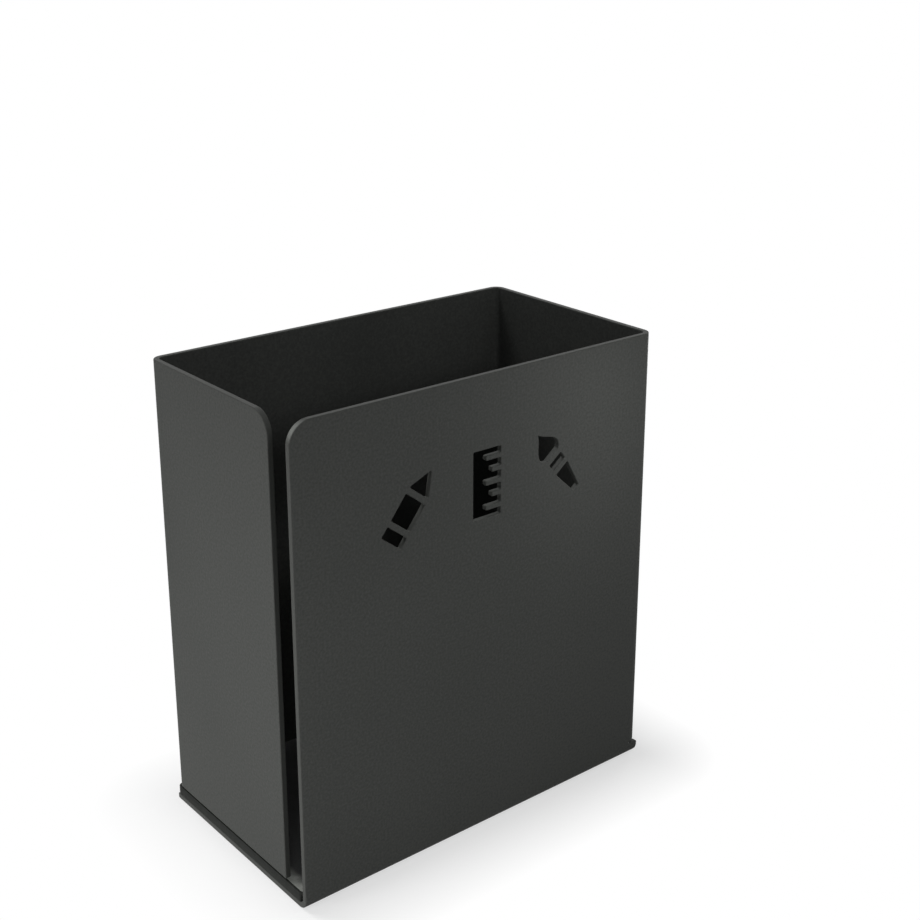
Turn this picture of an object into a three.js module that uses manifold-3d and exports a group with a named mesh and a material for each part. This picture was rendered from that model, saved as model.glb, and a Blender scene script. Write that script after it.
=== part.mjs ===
// Pen stand: an upright box folded from one steel sheet, with a rubber mat on its floor.
// Millimetres, +Z up. X runs along the front, Y from the front to the back.
// The origin is at the middle of the footprint, at table height.

import * as THREE from 'three';
import { mergeVertices } from 'three/addons/utils/BufferGeometryUtils.js';
import Module from 'manifold-3d';

const wasm = await Module();
wasm.setup();

// Overall size of the box, over its outer faces.
const WIDTH = 90;
const DEPTH = 50;
const HEIGHT = 100;

// The sheet and how it is bent.
const SHEET = 1.2;
const BEND_INNER_RADIUS = 1.2;
const BEND_STEPS = 12;

// The open seam between the front panel and the left wall, and the rounded free corners beside it.
const SEAM_GAP = 5.8;
const FREE_CORNER_RADIUS = 4.5;
const CORNER_STEPS = 10;

// The walls end above the floor flap, and a slit frees the bent corner from the flat front.
const WALL_LIFT = 2.4;
const SLIT = 0.5;

// The mat fills the gap below the walls.
const MAT_CLEARANCE = 0.3;
const MAT_CORNER_RADIUS = 1;

// The row of three stencil pictures near the rim: a leaning pencil, an upright ruler and a leaning brush.
const PICTURE_HEIGHT = 14.3;
const PICTURE_PITCH = 18.5;
const PICTURE_TOP_MARGIN = 15.3;
const BRIDGE = 1.3;
const TOOL_LEAN = THREE.MathUtils.degToRad(38);

const PENCIL_WIDTH = 5.6;
const PENCIL_LENGTH = 15.8;
const PENCIL_END = 2.4;
const PENCIL_TIP = 5;

const RULER_WIDTH = 7;
const TICK_WIDTH = 1;
const TICK_PITCH = 2.6;
const LONG_TICK = 3.8;
const SHORT_TICK = 2.3;

const BRUSH_WIDTH = 3.8;
const BRUSH_END_WIDTH = 1.7;
const BRUSH_LENGTH = 17.4;
const BRUSH_FERRULE = 1.8;
const BRUSH_HAIR = 6.4;
const HAIR_STEPS = 10;

// The hair leaves the ferrule towards this width and comes to its point from the next one.
const HAIR_BELLY = 9.4;
const HAIR_POINT = 1.2;

const COAT_COLOUR = 0x454643;
const MAT_COLOUR = 0x1f2120;

// Sizes that follow from the ones above.
const BEND_OUTER_RADIUS = BEND_INNER_RADIUS + SHEET;
const LEFT = -WIDTH / 2;
const RIGHT = WIDTH / 2;
const FRONT = -DEPTH / 2;
const BACK = DEPTH / 2;
const WALL_BOTTOM = SHEET + WALL_LIFT;
const SEAM_BACK = FRONT + SHEET + SEAM_GAP;
const PICTURE_MIDDLE = HEIGHT - PICTURE_TOP_MARGIN - PICTURE_HEIGHT / 2;

// A cutter reaches this far past the faces that it cuts.
const OVERRUN = 1;

// A closed geometry as a solid that can be joined and cut.
function solidOf(geometry) {
  const bare = geometry.clone();
  bare.deleteAttribute('normal');
  bare.deleteAttribute('uv');
  const merged = mergeVertices(bare, 1e-4);
  return new wasm.Manifold(new wasm.Mesh({
    numProp: 3,
    vertProperties: new Float32Array(merged.attributes.position.array),
    triVerts: new Uint32Array(merged.index.array),
  }));
}

// The solid back as a geometry that a mesh can show.
function geometryOf(solid) {
  const { vertProperties, triVerts } = solid.getMesh();
  const geometry = new THREE.BufferGeometry();
  geometry.setAttribute('position', new THREE.BufferAttribute(new Float32Array(vertProperties), 3));
  geometry.setIndex(new THREE.BufferAttribute(new Uint32Array(triVerts), 1));
  geometry.computeVertexNormals();
  return geometry;
}

function extrude(shape, depth, curveSegments) {
  return new THREE.ExtrudeGeometry(shape, { depth, curveSegments, bevelEnabled: false });
}

// An outline in plan, raised between two heights.
function raise(outline, bottom, top, curveSegments = BEND_STEPS) {
  return extrude(outline, top - bottom, curveSegments).translate(0, 0, bottom);
}

// An outline drawn as (x, z), pushed through from the nearer y to the farther y.
function pushBack(outline, nearY, farY, curveSegments = CORNER_STEPS) {
  return extrude(outline, farY - nearY, curveSegments).rotateX(Math.PI / 2).translate(0, farY, 0);
}

// An outline drawn as (y, z), pushed through from the left x to the right x.
function pushRight(outline, leftX, rightX, curveSegments = BEND_STEPS) {
  return extrude(outline, rightX - leftX, curveSegments)
    .rotateX(Math.PI / 2)
    .rotateZ(Math.PI / 2)
    .translate(leftX, 0, 0);
}

function polygon(points) {
  return new THREE.Shape(points.map(([x, y]) => new THREE.Vector2(x, y)));
}

function rectangle(x0, y0, x1, y1) {
  return polygon([[x0, y0], [x1, y0], [x1, y1], [x0, y1]]);
}

// The band of the four walls in plan: front panel, right wall, back wall, then left wall.
function wallOutline() {
  const outer = BEND_OUTER_RADIUS;
  const inner = BEND_INNER_RADIUS;
  const shape = new THREE.Shape();
  shape.moveTo(LEFT, FRONT);
  shape.lineTo(RIGHT - outer, FRONT);
  shape.absarc(RIGHT - outer, FRONT + outer, outer, -Math.PI / 2, 0, false);
  shape.lineTo(RIGHT, BACK - outer);
  shape.absarc(RIGHT - outer, BACK - outer, outer, 0, Math.PI / 2, false);
  shape.lineTo(LEFT + outer, BACK);
  shape.absarc(LEFT + outer, BACK - outer, outer, Math.PI / 2, Math.PI, false);
  shape.lineTo(LEFT, SEAM_BACK);
  shape.lineTo(LEFT + SHEET, SEAM_BACK);
  shape.lineTo(LEFT + SHEET, BACK - outer);
  shape.absarc(LEFT + outer, BACK - outer, inner, Math.PI, Math.PI / 2, true);
  shape.lineTo(RIGHT - outer, BACK - SHEET);
  shape.absarc(RIGHT - outer, BACK - outer, inner, Math.PI / 2, 0, true);
  shape.lineTo(RIGHT - SHEET, FRONT + outer);
  shape.absarc(RIGHT - outer, FRONT + outer, inner, 0, -Math.PI / 2, true);
  shape.lineTo(LEFT, FRONT + SHEET);
  shape.closePath();
  return shape;
}

// Side view of the flat lower edge of the front, its bend and the floor flap.
function floorOutline() {
  const outer = BEND_OUTER_RADIUS;
  const lip = WALL_BOTTOM - SLIT;
  const shape = new THREE.Shape();
  shape.moveTo(FRONT, lip);
  shape.lineTo(FRONT, outer);
  shape.absarc(FRONT + outer, outer, outer, Math.PI, 1.5 * Math.PI, false);
  shape.lineTo(BACK, 0);
  shape.lineTo(BACK, SHEET);
  shape.lineTo(FRONT + outer, SHEET);
  shape.absarc(FRONT + outer, outer, BEND_INNER_RADIUS, 1.5 * Math.PI, Math.PI, true);
  shape.lineTo(FRONT + SHEET, lip);
  shape.closePath();
  return shape;
}

// What is trimmed off a free corner: the corner is at the origin, with the sheet right of it and below it.
function cornerTrim() {
  const r = FREE_CORNER_RADIUS;
  const shape = new THREE.Shape();
  shape.moveTo(-OVERRUN, OVERRUN);
  shape.lineTo(-OVERRUN, -r);
  shape.lineTo(0, -r);
  shape.absarc(r, -r, r, Math.PI, Math.PI / 2, true);
  shape.lineTo(r, OVERRUN);
  shape.closePath();
  return shape;
}

// A leaning pencil: its end, its barrel and its point, with bridges of sheet between them.
function pencilCutters() {
  const half = PENCIL_LENGTH / 2;
  const side = PENCIL_WIDTH / 2;
  const barrelStart = -half + PENCIL_END + BRIDGE;
  const tipStart = half - PENCIL_TIP;
  return [
    rectangle(-side, -half, side, -half + PENCIL_END),
    rectangle(-side, barrelStart, side, tipStart - BRIDGE),
    polygon([[-side, tipStart], [side, tipStart], [0, half]]),
  ].map((outline) => solidOf(throughFront(outline, TOOL_LEAN)));
}

// An upright ruler: a bar with tongues of sheet left standing in it as its scale, every second one longer.
function rulerCutters() {
  const half = PICTURE_HEIGHT / 2;
  const side = RULER_WIDTH / 2;
  const pairs = Math.floor((half - TICK_WIDTH) / TICK_PITCH);
  let bar = solidOf(throughFront(rectangle(-side, -half, side, half)));
  for (let step = -pairs; step <= pairs; step += 1) {
    const length = step % 2 === 0 ? LONG_TICK : SHORT_TICK;
    const middle = step * TICK_PITCH;
    const tongue = rectangle(side - length, middle - TICK_WIDTH / 2, side + OVERRUN, middle + TICK_WIDTH / 2);
    bar = bar.subtract(solidOf(throughFront(tongue)));
  }
  return [bar];
}

// A leaning brush: its handle, its ferrule and its hair.
function brushCutters() {
  const half = BRUSH_LENGTH / 2;
  const side = BRUSH_WIDTH / 2;
  const end = BRUSH_END_WIDTH / 2;
  const hairStart = half - BRUSH_HAIR;
  const ferruleEnd = hairStart - BRIDGE;
  const handleEnd = ferruleEnd - BRUSH_FERRULE - BRIDGE;
  const belly = HAIR_BELLY / 2;
  const point = HAIR_POINT / 2;
  const bellyHeight = hairStart + BRUSH_HAIR / 3;
  const pointHeight = half - BRUSH_HAIR / 3;
  const hair = new THREE.Shape();
  hair.moveTo(-side, hairStart);
  hair.lineTo(side, hairStart);
  hair.bezierCurveTo(belly, bellyHeight, point, pointHeight, 0, half);
  hair.bezierCurveTo(-point, pointHeight, -belly, bellyHeight, -side, hairStart);
  return [
    polygon([[-end, -half], [end, -half], [side, handleEnd], [-side, handleEnd]]),
    rectangle(-side, ferruleEnd - BRUSH_FERRULE, side, ferruleEnd),
    hair,
  ].map((outline) => solidOf(throughFront(outline, -TOOL_LEAN, HAIR_STEPS)));
}

// An outline centred on a picture's own middle, turned, then pushed through the front panel.
function throughFront(outline, lean = 0, curveSegments = CORNER_STEPS) {
  return pushBack(outline, FRONT - OVERRUN, FRONT + SHEET + OVERRUN, curveSegments).rotateY(lean);
}

function pictureCutters() {
  const pictures = [pencilCutters(), rulerCutters(), brushCutters()];
  return pictures.flatMap((cutters, index) => {
    const x = (index - (pictures.length - 1) / 2) * PICTURE_PITCH;
    return cutters.map((cutter) => cutter.translate([x, 0, PICTURE_MIDDLE]));
  });
}

// The folded sheet: the four walls, the floor flap and the web that joins them along the front.
function foldedBody() {
  const walls = solidOf(raise(wallOutline(), WALL_BOTTOM, HEIGHT));
  const floor = solidOf(pushRight(floorOutline(), LEFT, RIGHT));
  const webOutline = rectangle(
    LEFT, WALL_BOTTOM - SLIT - OVERRUN / 2,
    RIGHT - BEND_OUTER_RADIUS, WALL_BOTTOM + OVERRUN,
  );
  const web = solidOf(pushBack(webOutline, FRONT, FRONT + SHEET));
  const frontTrim = pushBack(cornerTrim(), FRONT - OVERRUN, FRONT + SHEET + OVERRUN)
    .translate(LEFT, 0, HEIGHT);
  const leftTrim = pushRight(cornerTrim(), LEFT - OVERRUN, LEFT + SHEET + OVERRUN, CORNER_STEPS)
    .translate(0, SEAM_BACK, HEIGHT);
  let body = walls.add(floor).add(web);
  for (const cutter of [solidOf(frontTrim), solidOf(leftTrim), ...pictureCutters()]) {
    body = body.subtract(cutter);
  }
  return body;
}

// The mat lies on the floor flap, flush with its edges, and clears the bend at its front.
function floorMat() {
  const bottom = SHEET;
  const top = WALL_BOTTOM - MAT_CLEARANCE;
  const near = FRONT + SHEET + MAT_CLEARANCE;
  const r = BEND_INNER_RADIUS;
  const side = new THREE.Shape();
  side.moveTo(near, top);
  side.lineTo(near, bottom + r);
  side.absarc(near + r, bottom + r, r, Math.PI, 1.5 * Math.PI, false);
  side.lineTo(BACK, bottom);
  side.lineTo(BACK, top);
  side.closePath();

  const c = MAT_CORNER_RADIUS;
  const plan = new THREE.Shape();
  plan.moveTo(LEFT + c, near);
  plan.absarc(RIGHT - c, near + c, c, -Math.PI / 2, 0, false);
  plan.absarc(RIGHT - c, BACK - c, c, 0, Math.PI / 2, false);
  plan.absarc(LEFT + c, BACK - c, c, Math.PI / 2, Math.PI, false);
  plan.absarc(LEFT + c, near + c, c, Math.PI, 1.5 * Math.PI, false);

  const slab = solidOf(pushRight(side, LEFT - OVERRUN, RIGHT + OVERRUN));
  return slab.intersect(solidOf(raise(plan, bottom - OVERRUN, top + OVERRUN, CORNER_STEPS)));
}

function namedMesh(name, solid, material) {
  const mesh = new THREE.Mesh(geometryOf(solid), material);
  mesh.name = name;
  return mesh;
}

const coat = new THREE.MeshStandardMaterial({ color: COAT_COLOUR, roughness: 0.62, metalness: 0.15 });
const rubber = new THREE.MeshStandardMaterial({ color: MAT_COLOUR, roughness: 0.8, metalness: 0 });

const penStand = new THREE.Group();
penStand.name = 'pen_stand';
penStand.add(namedMesh('folded_body', foldedBody(), coat));
penStand.add(namedMesh('floor_mat', floorMat(), rubber));

export default penStand;
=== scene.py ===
import math

import bmesh
import bpy
from mathutils import Matrix, Vector

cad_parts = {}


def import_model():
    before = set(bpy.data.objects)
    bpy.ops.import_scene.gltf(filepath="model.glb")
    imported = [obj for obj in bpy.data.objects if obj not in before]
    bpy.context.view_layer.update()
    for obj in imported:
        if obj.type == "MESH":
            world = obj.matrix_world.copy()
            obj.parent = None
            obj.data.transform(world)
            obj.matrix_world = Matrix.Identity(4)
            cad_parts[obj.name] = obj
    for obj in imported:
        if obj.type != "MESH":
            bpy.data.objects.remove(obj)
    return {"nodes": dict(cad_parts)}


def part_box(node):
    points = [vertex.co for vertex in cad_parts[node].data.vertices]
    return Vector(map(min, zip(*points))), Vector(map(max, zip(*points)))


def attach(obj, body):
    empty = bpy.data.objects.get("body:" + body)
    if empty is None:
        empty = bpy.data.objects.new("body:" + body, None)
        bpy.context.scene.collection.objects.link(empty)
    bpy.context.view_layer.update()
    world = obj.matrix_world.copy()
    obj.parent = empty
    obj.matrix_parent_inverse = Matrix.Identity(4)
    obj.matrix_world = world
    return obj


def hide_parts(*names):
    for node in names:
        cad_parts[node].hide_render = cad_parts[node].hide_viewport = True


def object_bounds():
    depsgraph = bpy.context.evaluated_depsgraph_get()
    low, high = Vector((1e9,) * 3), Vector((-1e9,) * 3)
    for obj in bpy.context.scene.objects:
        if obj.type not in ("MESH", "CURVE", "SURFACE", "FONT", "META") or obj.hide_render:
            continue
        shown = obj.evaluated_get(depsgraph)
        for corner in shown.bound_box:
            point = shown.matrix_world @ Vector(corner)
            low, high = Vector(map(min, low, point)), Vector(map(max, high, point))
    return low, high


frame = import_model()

MM = 0.001
CAD_LOW, CAD_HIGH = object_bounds()

# The camera stands to the left of the front and looks down at it.
CAMERA_PLACE = Vector((-174.5, -231.3, 186.7)) * MM
CAMERA_AIM = Vector((15.8, 2.9, 87.0)) * MM
CAMERA_LENS = 58.5
CAMERA_SENSOR = 36
CAMERA_SHIFT = -0.08
CAMERA_NEAR = 10 * MM

# The folded sheet, in millimetres.
SHEET = 1.2
BEND_RADIUS = 2.4
BEND_STEPS = 12
SEAM_GAP = 5.8
FREE_CORNER = 4.5
WALL_BOTTOM = 3.6
SLIT = 0.5

# The coat rounds every cut edge, and the cutter rounds every corner of the blank a little, in millimetres.
EDGE_RADIUS = 0.2
EDGE_STEPS = 4
CUT_CORNER = 0.25

# A corner of an outline that turns by less than this is part of a curve.
CURVE_ANGLE = math.radians(35)

# The widest turn between two points of an arc.
ARC_STEP = math.radians(10)

# Points of the blank that are this close, in millimetres, are one.
SAME_PLACE = 1e-4

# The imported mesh: how close its points join, in millimetres, the normal's y in the front panel, and the
# sine of a turn that is no corner.
WELD = 1e-3
FACES_FRONT = -0.99
STRAIGHT = 0.005

# Where the sheet's flats and bends lie: the flats go left, back, right, front, and the flap is the floor.
LEFT, FRONT = (side / MM for side in CAD_LOW.xy)
RIGHT, BACK = (side / MM for side in CAD_HIGH.xy)
HEIGHT = CAD_HIGH.z / MM
SEAM_BACK = FRONT + SHEET + SEAM_GAP
SLIT_MIDDLE = WALL_BOTTOM - SLIT / 2
BEND_LENGTH = BEND_RADIUS * math.pi / 2
WALLS = (
    BACK - BEND_RADIUS - SEAM_BACK,
    RIGHT - LEFT - 2 * BEND_RADIUS,
    BACK - FRONT - 2 * BEND_RADIUS,
    RIGHT - BEND_RADIUS - LEFT,
)
FRONT_START = sum(WALLS[:3]) + 3 * BEND_LENGTH
FRONT_END = FRONT_START + WALLS[3]
FLAP = (SLIT_MIDDLE - BEND_RADIUS, BACK - FRONT - BEND_RADIUS)
FLAP_END = SLIT_MIDDLE - sum(FLAP) - BEND_LENGTH

# The mat, in metres: a rubber core and a thin felt lining on top of it, above the bend of the floor.
LINING = 0.4 * MM
MAT_CORNER = 1.0 * MM
MAT_EDGE = 0.15 * MM
MAT_EDGE_MIDDLE = MAT_EDGE / 3
MAT_GROOVE = 0.08 * MM
MAT_CORNER_STEPS = 8
# Partly painted shade: the rubber core is the mat's own, but the felt top stops this far in and the
# lining's side is drawn in rubber, so the border under the walls stays dark as shade.
FELT_INSET = 0.45 * MM
INNER_BEND = (BEND_RADIUS - SHEET) * MM

# Colours are linear light.
COAT_DARK = (0.05, 0.052, 0.049, 1)
COAT_LIGHT = (0.066, 0.068, 0.064, 1)
COAT_EDGE = (0.055, 0.057, 0.053, 1)
# The light colour of the painted highlight on the front's free corner.
COAT_PAINTED_GLINT = (0.21, 0.217, 0.204, 1)
RUBBER_DARK = (0.007, 0.008, 0.007, 1)
RUBBER_LIGHT = (0.018, 0.019, 0.017, 1)
FELT_DARK = (0.24, 0.25, 0.23, 1)
FELT_LIGHT = (0.38, 0.395, 0.36, 1)
# Painted shade: the near-black that the felt takes inside the box.
FELT_PAINTED_SHADE = (0.02, 0.021, 0.022, 1)
FLOOR_COLOUR = (0.45, 0.45, 0.45, 1)
WHITE = (1, 1, 1, 1)

# How wide the blotches of each material are, and how many times as long as wide a fibre is.
COAT_CLOUD = 60 * MM
COAT_SMUDGE = 11 * MM
COAT_PEEL = 0.9 * MM
COAT_GRAIN = 0.5 * MM
RUBBER_MOTTLE = 1.6 * MM
RUBBER_PORE = 0.3 * MM
FELT_CLUMP = 2.5 * MM
FELT_FIBRE = 1.1 * MM
FIBRE_RATIO = 5

# The clouds' share in the tone of the coat. The rest is grain.
CLOUD_SHARE = 0.3

# The values of a noise between which a material goes from one look to the other.
WIDE_NOISE = (0.3, 0.7)
NARROW_NOISE = (0.35, 0.65)
COAT_NOISE = (0.38, 0.62)
FIBRE_NOISE = (0.4, 0.75)
CLUMP_NOISE = (0.2, 0.7)

# The least and the most that smudges leave of an edge's wear, and clumps of a fibre's light.
SMUDGE_EFFECT = (0.35, 1.0)
CLUMP_EFFECT = (0.6, 1.0)

# How deep the bumps are, and how much of each shows.
PEEL_DEPTH = 0.03 * MM
PEEL_SHOWN = 0.35
GRAIN_DEPTH = 0.02 * MM
GRAIN_SHOWN = 0.25
PORE_DEPTH = 0.06 * MM
PORE_SHOWN = 0.6
FIBRE_DEPTH = 0.08 * MM
FIBRE_SHOWN = 0.8

# How each material shines. A pair is for the lowest and the highest noise.
FACE_ROUGHNESS = 0.62
EDGE_ROUGHNESS = 0.42
RUBBER_ROUGHNESS = (0.62, 0.8)
FELT_ROUGHNESS = (0.85, 0.95)
COAT_GLOSS = 0.06
RUBBER_GLOSS = 0.12
FELT_SHEEN = 0.2

# Painted highlight on the cut edge at the front's free corner, a glint lightened into the coat's colour:
# full up to one reach, gone at the other.
GLINT_FULL = 0.8 * MM
GLINT_END = 2.8 * MM

# Painted shade on the felt inside the box, away from the open seam: how far in from the seam's side it
# starts and is full.
SHADE_START = 1.5 * MM
SHADE_FULL = 3.5 * MM
SHADE_WAVE = 0.4 * MM
SHADE_STRENGTH = 0.95

# The floor as it is seen: how much it is lifted, and where beside the object, in metres, it turns white.
FLOOR_LIFT = 0.56
FLOOR_REACH = 6.0
FLOOR_NEAR = 0.001
FLOOR_FAR = 0.018

WORLD_LIGHT = 0.14
WORLD_COLOUR = (0.96, 1.0, 1.015, 1)


class Graph:
    """A node tree that is filled by name, with each node set as it is added."""

    def __init__(self, tree):
        self.tree = tree
        tree.nodes.clear()

    def add(self, kind, settings=None, **inputs):
        """A node of this kind, with its settings and the values or links of its inputs, by name."""
        node = self.tree.nodes.new(kind)
        for name, value in (settings or {}).items():
            setattr(node, name, value)
        for name, value in inputs.items():
            self.feed(node.inputs[name.replace("_", " ")], value)
        return node

    def feed(self, socket, value):
        """Link the socket to another socket, or set it to a value."""
        if isinstance(value, bpy.types.NodeSocket):
            self.tree.links.new(value, socket)
        else:
            socket.default_value = value

    def blend(self, factor, first, second):
        """A colour between two colours: these are the sockets of a mix of colours."""
        node = self.tree.nodes.new("ShaderNodeMix")
        node.data_type = "RGBA"
        self.feed(node.inputs[0], factor)
        self.feed(node.inputs[6], first)
        self.feed(node.inputs[7], second)
        return node.outputs[2]

    def span(self, value, low, high, start=0.0, end=1.0):
        """A number mapped from low..high to start..end."""
        node = self.add("ShaderNodeMapRange")
        for socket, number in zip(node.inputs[:5], (value, low, high, start, end)):
            self.feed(socket, number)
        return node.outputs[0]

    def maths(self, operation, first, second):
        """A number worked out from two numbers."""
        node = self.add("ShaderNodeMath", {"operation": operation})
        self.feed(node.inputs[0], first)
        self.feed(node.inputs[1], second)
        return node.outputs[0]

    def place(self):
        """The place on the object, in metres."""
        return self.add("ShaderNodeTexCoord").outputs["Object"]

    def bump(self, height, depth, shown, **under):
        """A normal that the height raises by up to the depth."""
        node = self.add("ShaderNodeBump", Strength=shown, Distance=depth, Height=height, **under)
        return node.outputs[0]

    def noise(self, place, grain, detail):
        """Noise whose blotches are about as wide as grain, in metres."""
        node = self.add("ShaderNodeTexNoise", Vector=place, Scale=1 / grain, Detail=detail)
        return node.outputs[0]


def new_material(name):
    material = bpy.data.materials.new(name)
    material.use_nodes = True
    return material, Graph(material.node_tree)


def finish_material(graph, shader):
    output = graph.add("ShaderNodeOutputMaterial")
    graph.feed(output.inputs["Surface"], shader)


def powder_coat():
    """Matt graphite powder coat: orange peel, faint clouds, smoother cut edges and a painted highlight on
    one corner.
    """
    material, graph = new_material("powder_coat")
    place = graph.place()
    clouds = graph.noise(place, COAT_CLOUD, detail=2)
    grain = graph.noise(place, COAT_GRAIN, detail=3)
    peel = graph.noise(place, COAT_PEEL, detail=2)
    smudges = graph.noise(place, COAT_SMUDGE, detail=4)

    cloudy = graph.maths("MULTIPLY", clouds, CLOUD_SHARE)
    tone = graph.maths("ADD", cloudy, graph.maths("MULTIPLY", grain, 1 - CLOUD_SHARE))
    face = graph.blend(graph.span(tone, *COAT_NOISE), COAT_DARK, COAT_LIGHT)
    edge = graph.add("ShaderNodeAttribute", {"attribute_name": "cut_edge"}).outputs["Fac"]
    worn = graph.maths("MULTIPLY", edge, graph.span(smudges, *NARROW_NOISE, *SMUDGE_EFFECT))
    colour = graph.blend(worn, face, COAT_EDGE)

    # Painted highlight: the cut edge is lightened around the front's free corner, where a glint of light
    # falls.
    inset = FREE_CORNER * (1 - math.cos(math.pi / 4))
    corner = Vector((LEFT + inset, FRONT, HEIGHT - inset)) * MM
    away = graph.add("ShaderNodeVectorMath", {"operation": "DISTANCE"})
    graph.feed(away.inputs[0], place)
    graph.feed(away.inputs[1], corner)
    glint = graph.span(away.outputs["Value"], GLINT_FULL, GLINT_END, 1.0, 0.0)
    colour = graph.blend(graph.maths("MULTIPLY", edge, glint), colour, COAT_PAINTED_GLINT)

    peeled = graph.bump(peel, PEEL_DEPTH, PEEL_SHOWN)
    shader = graph.add(
        "ShaderNodeBsdfPrincipled",
        Base_Color=colour,
        Roughness=graph.span(edge, 0, 1, FACE_ROUGHNESS, EDGE_ROUGHNESS),
        Normal=graph.bump(grain, GRAIN_DEPTH, GRAIN_SHOWN, Normal=peeled),
    )
    shader.inputs["Specular IOR Level"].default_value = COAT_GLOSS
    finish_material(graph, shader.outputs[0])
    return material


def rubber():
    """Dense black rubber with a cut, slightly mottled side."""
    material, graph = new_material("rubber")
    place = graph.place()
    mottle = graph.noise(place, RUBBER_MOTTLE, detail=4)
    pores = graph.noise(place, RUBBER_PORE, detail=2)
    shader = graph.add(
        "ShaderNodeBsdfPrincipled",
        Base_Color=graph.blend(graph.span(mottle, *NARROW_NOISE), RUBBER_DARK, RUBBER_LIGHT),
        Roughness=graph.span(mottle, *WIDE_NOISE, *RUBBER_ROUGHNESS),
        Normal=graph.bump(pores, PORE_DEPTH, PORE_SHOWN),
    )
    shader.inputs["Specular IOR Level"].default_value = RUBBER_GLOSS
    finish_material(graph, shader.outputs[0])
    return material


def felt():
    """Thin grey-green felt: short matted fibres in two directions, painted nearly black with shade inside
    the box.
    """
    material, graph = new_material("felt")
    place = graph.place()
    along = graph.add("ShaderNodeMapping", Vector=place, Scale=(1, FIBRE_RATIO, 1)).outputs[0]
    across = graph.add("ShaderNodeMapping", Vector=place, Scale=(FIBRE_RATIO, 1, 1)).outputs[0]
    one_way = graph.noise(along, FELT_FIBRE, detail=3)
    other_way = graph.noise(across, FELT_FIBRE, detail=3)
    fibres = graph.maths("MAXIMUM", one_way, other_way)
    clumps = graph.noise(place, FELT_CLUMP, detail=3)
    tone = graph.span(fibres, *FIBRE_NOISE)
    tone = graph.maths("MULTIPLY", tone, graph.span(clumps, *CLUMP_NOISE, *CLUMP_EFFECT))
    # Painted shade: inward of the left wall the felt goes nearly black, where the box's walls shade its
    # floor.
    sideways = graph.add("ShaderNodeSeparateXYZ", Vector=place).outputs["X"]
    inwards = graph.maths("ADD", sideways, graph.span(clumps, *WIDE_NOISE, -SHADE_WAVE, SHADE_WAVE))
    shade = graph.span(inwards, CAD_LOW.x + SHADE_START, CAD_LOW.x + SHADE_FULL, 0.0, SHADE_STRENGTH)
    shader = graph.add(
        "ShaderNodeBsdfPrincipled",
        Base_Color=graph.blend(shade, graph.blend(tone, FELT_DARK, FELT_LIGHT), FELT_PAINTED_SHADE),
        Roughness=graph.span(clumps, *WIDE_NOISE, *FELT_ROUGHNESS),
        Normal=graph.bump(fibres, FIBRE_DEPTH, FIBRE_SHOWN),
    )
    shader.inputs["Sheen Weight"].default_value = FELT_SHEEN
    finish_material(graph, shader.outputs[0])
    return material


def new_piece(name, mesh, materials):
    piece = bpy.data.objects.new(name, mesh)
    bpy.context.scene.collection.objects.link(piece)
    for material in materials:
        mesh.materials.append(material)
    return piece


def picture_outlines():
    """Corners (x, height) of each hole in the front panel, in millimetres, with the sheet on the left."""
    shape = bmesh.new()
    shape.from_mesh(frame["nodes"]["folded_body"].data)
    bmesh.ops.remove_doubles(shape, verts=shape.verts, dist=WELD * MM)
    behind = CAD_LOW.y + EDGE_RADIUS * MM
    panel = []
    for face in shape.faces:
        if face.normal.y < FACES_FRONT and face.calc_center_median().y < behind:
            panel.append(face)
    following = {}
    for face in panel:
        for loop in face.loops:
            if loop.link_loop_radial_next.face not in panel:
                following[loop.vert.index] = loop.link_loop_next.vert
    places = {vert.index: Vector((vert.co.x, vert.co.z)) / MM for vert in shape.verts}
    outlines = []
    while following:
        start = next(iter(following))
        outline = [start]
        while outline[-1] in following:
            outline.append(following.pop(outline[-1]).index)
        outline = [places[index] for index in outline[1:]]
        if all(LEFT + FREE_CORNER < place.x < RIGHT - BEND_RADIUS for place in outline):
            outlines.append(straightened(outline))
    shape.free()
    return outlines


def straightened(outline):
    """The outline without the points that lie on a straight stretch."""
    kept = []
    for index, place in enumerate(outline):
        before = place - outline[index - 1]
        after = outline[(index + 1) % len(outline)] - place
        if abs(before.normalized().cross(after.normalized())) > STRAIGHT:
            kept.append(place)
    return kept


def blank_loops():
    """The edges of the flat blank, with the sheet on the left: lists of corners and the radius of each.

    The first coordinate runs along the outer face: left wall, back, right wall and front.
    The second is the height.
    """
    lip = FRONT_START - BEND_RADIUS
    edge = [
        (0, WALL_BOTTOM), (FRONT_START, WALL_BOTTOM),
        (FRONT_START, WALL_BOTTOM - SLIT), (lip, WALL_BOTTOM - SLIT),
        (lip, FLAP_END), (FRONT_END, FLAP_END),
        (FRONT_END, HEIGHT), (0, HEIGHT),
    ]
    radii = [CUT_CORNER] * 6 + [FREE_CORNER] * 2
    loops = [list(zip(map(Vector, edge), radii))]
    for outline in picture_outlines():
        corners = [Vector((FRONT_END - (place.x - LEFT), place.y)) for place in reversed(outline)]
        loops.append([(corner, CUT_CORNER) for corner in corners])
    return loops


def rounded(corners):
    """The line through the rounded corners: its points, each with the way that leads off the sheet."""
    line = []
    for index, (corner, radius) in enumerate(corners):
        before = corner - corners[index - 1][0]
        after = corners[(index + 1) % len(corners)][0] - corner
        turn = -before.angle_signed(after)
        room = min(before.length, after.length) / 2
        spread = math.tan(abs(turn) / 2)
        reach = room if abs(turn) < CURVE_ANGLE else min(room, radius * spread)
        bulge = math.copysign(reach / spread, turn)
        ahead = before.normalized()
        off = Vector((ahead.y, -ahead.x))
        centre = corner - ahead * reach - off * bulge
        steps = math.ceil(abs(turn) / ARC_STEP)
        for step in range(steps + 1):
            way = Matrix.Rotation(turn * step / steps, 2) @ off
            line.append((centre + way * bulge, way))
    previous = line[-1:] + line[:-1]
    return [point for point, last in zip(line, previous) if (point[0] - last[0]).length > SAME_PLACE]


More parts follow.
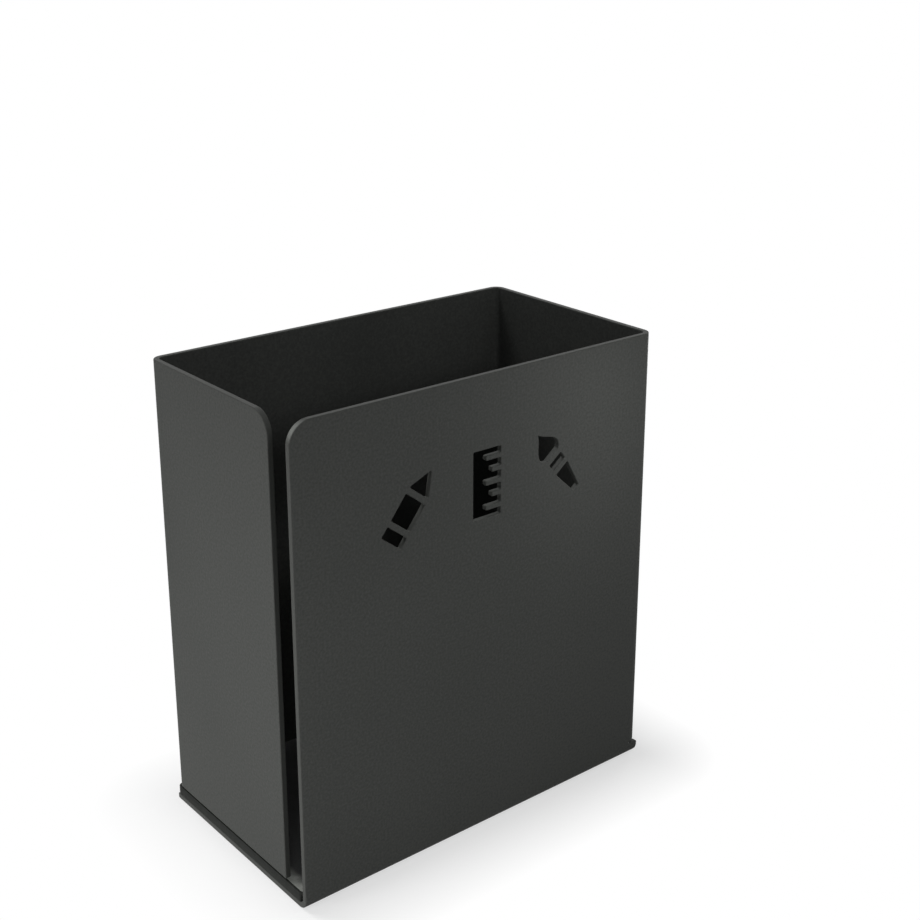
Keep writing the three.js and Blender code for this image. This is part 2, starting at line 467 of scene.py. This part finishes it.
def edge_profile():
    """The cut edge from outer to inner face: inset, depth, and how it leans off the sheet and inwards."""
    outer = []
    for step in range(EDGE_STEPS + 1):
        turn = math.pi / 2 * step / EDGE_STEPS
        off = math.sin(turn)
        inwards = -math.cos(turn)
        outer.append((EDGE_RADIUS * (1 - off), EDGE_RADIUS * (1 + inwards), off, inwards))
    inner = [(inset, SHEET - depth, off, -inwards) for inset, depth, off, inwards in reversed(outer)]
    return outer + inner


def flat_blank():
    """The blank before folding: along, height and depth below the outer face, with a normal on each point.

    The outer face is filled, and the inner face repeats its triangles.
    """
    shape = bmesh.new()
    normal = shape.verts.layers.float_vector.new("blank_normal")
    cut = shape.verts.layers.float.new("cut_edge")
    rim = []
    under = {}
    for corners in blank_loops():
        line = rounded(corners)
        rings = []
        for inset, depth, off, inwards in edge_profile():
            ring = []
            for place, way in line:
                at = place - way * inset
                vert = shape.verts.new((at.x, at.y, depth))
                vert[normal] = (way.x * off, way.y * off, inwards)
                vert[cut] = off
                ring.append(vert)
            rings.append(ring)
        for lower, upper in zip(rings, rings[1:]):
            for here in range(len(line)):
                shape.faces.new((lower[here - 1], lower[here], upper[here], upper[here - 1]))
        rim.extend(shape.edges.get((rings[0][here - 1], rings[0][here])) for here in range(len(line)))
        under.update(zip(rings[0], rings[-1]))
    bmesh.ops.triangle_fill(shape, use_beauty=True, edges=rim, normal=(0, 0, 1))
    for face in [face for face in shape.faces if under.keys() >= set(face.verts)]:
        shape.faces.new([under[vert] for vert in reversed(face.verts)])
    bmesh.ops.recalc_face_normals(shape, faces=shape.faces)
    return shape


def crease(shape, side, place, across):
    """Cut the blank along a line through place: above the slit (1), below it (-1) or all over (0)."""
    parts = [vert for vert in shape.verts if side * (vert.co.y - SLIT_MIDDLE) >= -SAME_PLACE]
    inside = set(parts)
    parts += [edge for edge in shape.edges if inside.issuperset(edge.verts)]
    parts += [face for face in shape.faces if inside.issuperset(face.verts)]
    bmesh.ops.bisect_plane(shape, geom=parts, dist=SAME_PLACE, plane_co=place, plane_no=across)


def follow(place, ahead, inwards, flats, distance):
    """The place and the two directions after a walk along flats that are joined by bends."""
    for flat in flats[:-1]:
        if distance <= flat:
            break
        turn = min(distance - flat, BEND_LENGTH) / BEND_RADIUS
        centre = place + ahead * flat + inwards * BEND_RADIUS
        ahead, inwards = (
            ahead * math.cos(turn) + inwards * math.sin(turn),
            inwards * math.cos(turn) - ahead * math.sin(turn),
        )
        place = centre - inwards * BEND_RADIUS
        distance = max(0.0, distance - flat - BEND_LENGTH)
    return place + ahead * distance, ahead, inwards


def folded(at, normal):
    """A point of the blank and its normal, on the folded box."""
    if at.y > SLIT_MIDDLE:
        start = Vector((LEFT, SEAM_BACK, at.y))
        place, along, inwards = follow(start, Vector((0, 1, 0)), Vector((1, 0, 0)), WALLS, at.x)
        up = Vector((0, 0, 1))
    else:
        start = Vector((LEFT + FRONT_END - at.x, FRONT, SLIT_MIDDLE))
        drop = SLIT_MIDDLE - at.y
        place, down, inwards = follow(start, Vector((0, 0, -1)), Vector((0, 1, 0)), FLAP, drop)
        along = Vector((-1, 0, 0))
        up = -down
    return place + inwards * at.z, along * normal.x + up * normal.y + inwards * normal.z


def coated_body():
    """The folded sheet with every cut edge rounded as its coat rounds it."""
    shape = flat_blank()
    crease(shape, 0, (0, SLIT_MIDDLE, 0), (0, 1, 0))
    flats_end = 0.0
    for flat in WALLS[:-1]:
        for step in range(BEND_STEPS + 1):
            crease(shape, 1, (flats_end + flat + BEND_LENGTH * step / BEND_STEPS, 0, 0), (1, 0, 0))
        flats_end += flat + BEND_LENGTH
    for step in range(BEND_STEPS + 1):
        crease(shape, -1, (0, BEND_RADIUS - BEND_LENGTH * step / BEND_STEPS, 0), (0, 1, 0))
    layer = shape.verts.layers.float_vector["blank_normal"]
    normals = []
    for vert in shape.verts:
        place, normal = folded(vert.co, vert[layer])
        vert.co = place * MM
        normals.append(normal.normalized())
    for face in shape.faces:
        face.smooth = True
    mesh = bpy.data.meshes.new("coated_body")
    shape.to_mesh(mesh)
    shape.free()
    mesh.attributes.remove(mesh.attributes["blank_normal"])
    mesh.normals_split_custom_set_from_vertices(normals)
    piece = new_piece("coated_body", mesh, [powder_coat()])
    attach(piece, "root")
    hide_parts("folded_body")
    return piece


def mat_ring(low, high, inset, height, bend_bottom):
    """One level of the mat's side: its plan, drawn in by inset and clear of the bend at the front."""
    radius = MAT_CORNER - inset
    corners = [(high.x, low.y, -90), (high.x, high.y, 0), (low.x, high.y, 90), (low.x, low.y, 180)]
    drop = max(0.0, INNER_BEND - (height - bend_bottom))
    nearest = low.y + inset + INNER_BEND - math.sqrt(INNER_BEND ** 2 - drop ** 2)
    ring = []
    for x, y, start in corners:
        centre_x = x - math.copysign(MAT_CORNER, x)
        centre_y = y - math.copysign(MAT_CORNER, y)
        for step in range(MAT_CORNER_STEPS + 1):
            turn = math.radians(start + 90 * step / MAT_CORNER_STEPS)
            across = centre_x + radius * math.cos(turn)
            along = centre_y + radius * math.sin(turn)
            ring.append((across, max(along, nearest), height))
    return ring


def lined_mat():
    """The mat: a rubber core, a groove where the lining is glued on, and the felt on its top."""
    low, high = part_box("floor_mat")
    seam = high.z - LINING
    levels = [
        (MAT_EDGE, low.z), (0, low.z + MAT_EDGE),
        (0, seam - MAT_GROOVE), (MAT_GROOVE, seam), (0, seam + MAT_GROOVE),
        (0, high.z - MAT_EDGE), (MAT_EDGE_MIDDLE, high.z - MAT_EDGE_MIDDLE), (MAT_EDGE, high.z),
        (FELT_INSET, high.z),
    ]
    shape = bmesh.new()
    rings = []
    for inset, height in levels:
        rings.append([shape.verts.new(point) for point in mat_ring(low, high, inset, height, low.z)])
    for lower, upper in zip(rings, rings[1:]):
        for here in range(len(lower)):
            after = (here + 1) % len(lower)
            face = shape.faces.new((lower[here], lower[after], upper[after], upper[here]))
            face.smooth = True
    shape.faces.new(list(reversed(rings[0])))
    # Only the top inside the border is felt; the lining's side and the border are rubber, as painted shade
    # under the walls.
    shape.faces.new(rings[-1]).material_index = 1
    mesh = bpy.data.meshes.new("lined_mat")
    shape.to_mesh(mesh)
    shape.free()
    piece = new_piece("lined_mat", mesh, [rubber(), felt()])
    normals = piece.modifiers.new("even_normals", "WEIGHTED_NORMAL")
    normals.keep_sharp = False
    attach(piece, "root")
    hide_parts("floor_mat")
    return piece


def camera():
    """The photograph's view."""
    data = bpy.data.cameras.new("camera")
    data.sensor_width = CAMERA_SENSOR
    data.lens = CAMERA_LENS
    data.shift_y = CAMERA_SHIFT
    data.clip_start = CAMERA_NEAR
    holder = bpy.data.objects.new("camera", data)
    holder.location = CAMERA_PLACE
    holder.rotation_euler = (CAMERA_AIM - CAMERA_PLACE).to_track_quat("-Z", "Y").to_euler()
    bpy.context.scene.collection.objects.link(holder)
    bpy.context.scene.camera = holder


def shown_rays(graph):
    """1 on the rays that show the background: straight, in gloss, or through glass."""
    path = graph.add("ShaderNodeLightPath")
    shown = graph.maths("MAXIMUM", path.outputs["Is Camera Ray"], path.outputs["Is Glossy Ray"])
    return graph.maths("MAXIMUM", shown, path.outputs["Is Transmission Ray"])


def world():
    """A faint even light all round, which the camera and the gloss see as plain white."""
    sky = bpy.data.worlds.new("studio")
    sky.use_nodes = True
    graph = Graph(sky.node_tree)
    glow = graph.add("ShaderNodeBackground", Color=WORLD_COLOUR, Strength=WORLD_LIGHT)
    white = graph.add("ShaderNodeBackground", Color=WHITE, Strength=1.0)
    mix = graph.add("ShaderNodeMixShader", Fac=shown_rays(graph))
    graph.feed(mix.inputs[1], glow.outputs[0])
    graph.feed(mix.inputs[2], white.outputs[0])
    output = graph.add("ShaderNodeOutputWorld")
    graph.feed(output.inputs["Surface"], mix.outputs[0])
    bpy.context.scene.world = sky


def floor():
    """A pale table top: it keeps the shadow beside the object and turns plain white away from it."""
    shape = bmesh.new()
    bmesh.ops.create_grid(shape, x_segments=1, y_segments=1, size=FLOOR_REACH)
    mesh = bpy.data.meshes.new("table_top")
    shape.to_mesh(mesh)
    shape.free()
    material, graph = new_material("table_top")
    place = graph.place()
    beside = place
    half_size = CAD_HIGH.xy.to_3d()
    for operation, vector in (("ABSOLUTE", None), ("SUBTRACT", half_size), ("MAXIMUM", Vector())):
        node = graph.add("ShaderNodeVectorMath", {"operation": operation})
        graph.feed(node.inputs[0], beside)
        if vector is not None:
            graph.feed(node.inputs[1], vector)
        beside = node.outputs[0]
    distance = graph.add("ShaderNodeVectorMath", {"operation": "LENGTH"}, Vector=beside).outputs["Value"]
    grey = graph.add("ShaderNodeBsdfDiffuse", Color=FLOOR_COLOUR)
    lift = graph.add("ShaderNodeEmission", Color=WHITE, Strength=FLOOR_LIFT)
    lit = graph.add("ShaderNodeAddShader")
    graph.feed(lit.inputs[0], grey.outputs[0])
    graph.feed(lit.inputs[1], lift.outputs[0])
    white = graph.add("ShaderNodeEmission", Color=WHITE, Strength=1.0)
    seen = graph.add("ShaderNodeMixShader", Fac=graph.span(distance, FLOOR_NEAR, FLOOR_FAR))
    graph.feed(seen.inputs[1], lit.outputs[0])
    graph.feed(seen.inputs[2], white.outputs[0])
    mix = graph.add("ShaderNodeMixShader", Fac=shown_rays(graph))
    graph.feed(mix.inputs[1], grey.outputs[0])
    graph.feed(mix.inputs[2], seen.outputs[0])
    finish_material(graph, mix.outputs[0])
    top = new_piece("table_top", mesh, [material])


def softbox(name, place, aim, size, power):
    """A round lamp that looks at aim: its width is in metres, its power in watts."""
    data = bpy.data.lights.new(name, "AREA")
    data.shape = "DISK"
    data.size = size
    data.energy = power
    lamp = bpy.data.objects.new(name, data)
    lamp.location = place
    lamp.rotation_euler = (aim - place).to_track_quat("-Z", "Y").to_euler()
    lamp.visible_camera = False
    bpy.context.scene.collection.objects.link(lamp)


def lights():
    """A wide lamp above and behind, one high in front, a low one on each side and four at the front."""
    middle = (CAD_LOW + CAD_HIGH) / 2
    softbox("top_light", Vector((-0.15, 0.4, 0.95)), middle, size=0.4, power=4.8)
    softbox("sky_light", Vector((-0.03, -0.35, 0.25)), middle, size=0.08, power=0.2)
    softbox("left_light", Vector((-0.2, 0.01, 0.02)), middle, size=0.06, power=0.215)
    softbox("right_light", Vector((0.3, 0.1, 0.03)), middle, size=0.1, power=0.3)
    softbox("front_light", Vector((-0.04, -0.12, 0.04)), middle, size=0.04, power=0.0085)
    softbox("near_light", Vector((-0.1, -0.1, 0.03)), middle, size=0.04, power=0.024)
    softbox("corner_light", Vector((0.05, -0.12, 0.14)), middle, size=0.03, power=0.0155)
    softbox("rim_light", Vector((0.035, -0.06, 0.092)), middle, size=0.02, power=0.0073)


def main():
    camera()
    world()
    lights()
    floor()
    coated_body()
    lined_mat()
    bpy.context.scene.view_settings.view_transform = "Standard"


main()
